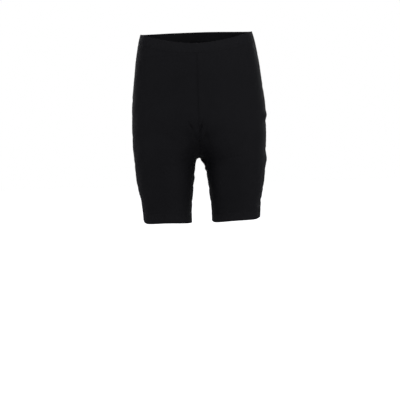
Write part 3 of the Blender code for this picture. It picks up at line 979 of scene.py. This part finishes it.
@lru_cache(maxsize=None)
def knit_relief():
    """Columns of small knitted loops on the flat cloth: their height, and a mask of the hollows."""
    tree, entry, leave = new_tree(
        "knit_relief", "ShaderNodeTree",
        (("Flat cloth", "NodeSocketVector", None),
         ("Column width", "NodeSocketFloat", CLOTH_FABRIC.column_width),
         ("Row height", "NodeSocketFloat", CLOTH_FABRIC.row_height)),
        (("Height", "NodeSocketFloat", None), ("Hollows", "NodeSocketFloat", None)),
    )
    parts = add_node(tree, "ShaderNodeSeparateXYZ", {0: entry.outputs["Flat cloth"]})
    column = calc(tree, "FRACT", calc(tree, "DIVIDE", parts.outputs["X"], entry.outputs["Column width"]))
    edge = calc(tree, "MULTIPLY", calc(tree, "ABSOLUTE", calc(tree, "SUBTRACT", column, 0.5)), 2.0)
    row = calc(tree, "DIVIDE", parts.outputs["Y"], entry.outputs["Row height"])
    slanted = calc(tree, "MULTIPLY_ADD", edge, LOOP_SLANT, row)
    wave = calc(tree, "COSINE", calc(tree, "MULTIPLY", slanted, 2 * math.pi))
    loops = calc(tree, "MULTIPLY_ADD", wave, 0.5, 0.5)
    rounded = calc(tree, "SUBTRACT", 1.0, calc(tree, "POWER", edge, LOOP_ROUNDNESS))
    raised = calc(tree, "MULTIPLY_ADD", loops, LOOP_DEPTH, 1 - LOOP_DEPTH)
    height = calc(tree, "MULTIPLY", rounded, raised)
    put(tree, leave.inputs["Height"], height)
    put(tree, leave.inputs["Hollows"], calc(tree, "SUBTRACT", 1.0, height))
    return tree


def shaded(tree, colour, share):
    """A colour made lighter or darker by a share."""
    feeds = {"Factor": 1.0, "A": colour, "B": vector(tree, share, share, share)}
    return add_node(tree, "ShaderNodeMix", feeds, data_type="RGBA", blend_type="MULTIPLY").outputs["Result"]


@lru_cache(maxsize=None)
def uneven_dye():
    """How black dye varies over a garment: slow cloudiness and fine streaks along the knit."""
    tree, entry, leave = new_tree(
        "uneven_dye", "ShaderNodeTree",
        (("Place", "NodeSocketVector", None), ("Colour", "NodeSocketColor", None),
         ("Cloudiness", "NodeSocketFloat", FABRIC_DYE["cloudiness"]),
         ("Streaks", "NodeSocketFloat", FABRIC_DYE["streaks"])),
        (("Colour", "NodeSocketColor", None), ("Wear", "NodeSocketFloat", None)),
    )
    place = entry.outputs["Place"]
    squeezed = add_node(tree, "ShaderNodeMapping", {"Scale": STREAK_SCALE, "Vector": place}).outputs["Vector"]
    cloud = add_node(tree, "ShaderNodeTexNoise", {"Vector": place, "Scale": CLOUD_SCALE, "Detail": 3.0})
    streak = add_node(tree, "ShaderNodeTexNoise", {"Vector": squeezed, "Scale": 1.0, "Detail": 2.0})
    shares = [
        calc(tree, "MULTIPLY", calc(tree, "SUBTRACT", noise.outputs["Fac"], 0.5), entry.outputs[amount])
        for noise, amount in ((cloud, "Cloudiness"), (streak, "Streaks"))
    ]
    both = calc(tree, "ADD", *shares)
    share = calc(tree, "ADD", 1.0, calc(tree, "MULTIPLY", both, 2.0))
    put(tree, leave.inputs["Colour"], shaded(tree, entry.outputs["Colour"], share))
    put(tree, leave.inputs["Wear"], calc(tree, "ADD", 0.5, both))
    return tree


def use_group(tree, group, **values):
    """Places a shader group with its own values."""
    feeds = {socket_name(label): value for label, value in values.items()}
    return add_node(tree, "ShaderNodeGroup", feeds, node_tree=group)


def new_material(name, constants):
    """A material, its node tree and its Principled shader, with constants on the shader's sockets."""
    material = bpy.data.materials.new(name)
    material.use_nodes = True
    shader = material.node_tree.nodes["Principled BSDF"]
    for socket, value in constants.items():
        shader.inputs[socket].default_value = value
    return material, material.node_tree, shader


def raise_relief(tree, shader, height, strength, distance):
    """Turns a height into the shader's normal."""
    bump = add_node(tree, "ShaderNodeBump", {"Strength": strength, "Distance": distance, "Height": height})
    put(tree, shader.inputs["Normal"], bump.outputs["Normal"])


def fabric_material(name, colour, fabric):
    """Black knit: its dye and loops from the groups, with painted shade in the loops' hollows and painted
    light on their tops, its sheen the same all over.
    """
    material, tree, shader = new_material(name, {
        "Specular IOR Level": FABRIC_SPECULAR, "Sheen Weight": fabric.sheen,
        "Sheen Roughness": SHEEN_ROUGHNESS, "Sheen Tint": SHEEN_TINT})
    flat = add_node(tree, "ShaderNodeUVMap", uv_map="flat_cloth")
    place = add_node(tree, "ShaderNodeTexCoord")
    knit = use_group(tree, knit_relief(), flat_cloth=flat.outputs["UV"], column_width=fabric.column_width,
                     row_height=fabric.row_height)
    dye = use_group(tree, uneven_dye(), place=place.outputs["Object"], colour=colour, **FABRIC_DYE)
    # Painted shade and light: the base colour is darkened in the knit's hollows and lightened on the loops'
    # tops
    shade = calc(tree, "MULTIPLY_ADD", knit.outputs["Hollows"], PAINTED_HOLLOW_SHADE, PAINTED_LOOP_LIGHT)
    put(tree, shader.inputs["Base Color"], shaded(tree, dye.outputs["Colour"], shade))
    least_rough = fabric.roughness - WEAR_ROUGHNESS / 2
    rough = calc(tree, "MULTIPLY_ADD", dye.outputs["Wear"], WEAR_ROUGHNESS, least_rough)
    put(tree, shader.inputs["Roughness"], rough)
    raise_relief(tree, shader, knit.outputs["Height"], RELIEF_STRENGTH, fabric.relief)
    return material


def thread_material(colour):
    """Black polyester thread, a little smoother than the cloth, with its twist as fine relief."""
    material, tree, shader = new_material("black_thread", {
        "Roughness": THREAD_ROUGHNESS, "Specular IOR Level": THREAD_SPECULAR, "Sheen Weight": THREAD_SHEEN,
        "Sheen Roughness": SHEEN_ROUGHNESS, "Sheen Tint": SHEEN_TINT})
    place = add_node(tree, "ShaderNodeTexCoord").outputs["Object"]
    dye = use_group(tree, uneven_dye(), place=place, colour=colour, **THREAD_DYE)
    put(tree, shader.inputs["Base Color"], dye.outputs["Colour"])
    twist = add_node(tree, "ShaderNodeTexWave", {"Scale": TWIST_SCALE, "Vector": place},
                     bands_direction="DIAGONAL")
    raise_relief(tree, shader, twist.outputs["Fac"], TWIST_STRENGTH, TWIST_RELIEF)
    return material


def add_floor():
    """A plain white studio floor that runs out of sight and throws back only part of the light."""
    signs = ((-1, -1), (1, -1), (1, 1), (-1, 1))
    corners = [(x * FLOOR_HALF, y * FLOOR_HALF, FLOOR_HEIGHT) for x, y in signs]
    mesh = bpy.data.meshes.new("studio_floor")
    mesh.from_pydata(corners, [], [(0, 1, 2, 3)])
    material, tree, shader = new_material("studio_floor", {
        "Roughness": FLOOR_ROUGHNESS, "Specular IOR Level": 0.0, "Emission Color": (1.0, 1.0, 1.0, 1.0)})
    seen = add_node(tree, "ShaderNodeLightPath").outputs["Is Camera Ray"]
    grey = calc(tree, "MULTIPLY_ADD", seen, FLOOR_SEEN - FLOOR_BOUNCE, FLOOR_BOUNCE)
    put(tree, shader.inputs["Base Color"], vector(tree, grey, grey, grey))
    put(tree, shader.inputs["Emission Strength"], calc(tree, "MULTIPLY", seen, FLOOR_GLOW))
    mesh.materials.append(material)
    floor = add_object("studio_floor", mesh)


def add_lights():
    """Every softbox of the table, turned to face the middle of the shorts."""
    for row in SOFTBOXES:
        lamp = bpy.data.lights.new(row.name, "AREA")
        lamp.shape = "RECTANGLE"
        lamp.size, lamp.size_y = row.width, row.height
        lamp.energy = row.watts
        light = add_object(row.name, lamp)
        light.location = row.x, row.y, row.z
        facing = Vector(LIT_POINT) - Vector((row.x, row.y, row.z))
        light.rotation_euler = facing.to_track_quat("-Z", "Y").to_euler()


def set_world():
    """White behind the object for the camera, and a weaker, bluer white as the studio's own light."""
    world = bpy.data.worlds.new("studio")
    world.use_nodes = True
    tree = world.node_tree
    seen = tree.nodes["Background"]
    seen.inputs["Color"].default_value = (1.0, 1.0, 1.0, 1.0)
    seen.inputs["Strength"].default_value = 1.0
    around = add_node(tree, "ShaderNodeBackground", {"Color": STUDIO_COLOUR, "Strength": STUDIO_STRENGTH})
    is_seen = add_node(tree, "ShaderNodeLightPath").outputs["Is Camera Ray"]
    mix = add_node(tree, "ShaderNodeMixShader", {0: is_seen, 1: around.outputs[0], 2: seen.outputs[0]})
    put(tree, tree.nodes["World Output"].inputs["Surface"], mix.outputs[0])
    bpy.context.scene.world = world


def add_camera():
    """The photograph's view: level with the hips, tipped a little down and a little to one side."""
    pitch = math.radians(CAMERA_PITCH)
    forward = Vector((0.0, math.cos(pitch), -math.sin(pitch)))
    data = bpy.data.cameras.new("camera")
    data.lens = LENS
    data.sensor_width = SENSOR
    camera = add_object("camera", data)
    place = Matrix.Translation(Vector(AIM) - forward * CAMERA_DISTANCE)
    tip = Matrix.Rotation(math.pi / 2 - pitch, 4, "X")
    roll = Matrix.Rotation(math.radians(CAMERA_ROLL), 4, "Z")
    camera.matrix_world = place @ tip @ roll
    bpy.context.scene.camera = camera


def main():
    """Dresses each node in its shell, adds the sewing and sets the studio."""
    cloth = fabric_material("black_knit", slot_colour("cloth"), CLOTH_FABRIC)
    trim = fabric_material("black_trim", slot_colour("trim"), TRIM_FABRIC)
    thread = thread_material(slot_colour("trim"))
    for side, side_name in SIDES:
        for facing, face_name in ((FRONT, "front"), (BACK, "back")):
            node = face_name + "_" + side_name
            panel = add_panel(node + "_panel", side, facing, cloth)
            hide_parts(node)
            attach(panel, "root")
        hem = add_hem("hem_" + side_name + "_fold", side, trim)
        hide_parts("hem_" + side_name)
        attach(hem, "root")
    band = add_waistband(trim)
    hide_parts("waistband")
    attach(band, "root")
    for piece in add_sewing(thread):
        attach(piece, "root")
    add_floor()
    add_lights()
    set_world()
    add_camera()
    bpy.context.scene.view_settings.view_transform = "Standard"


main()
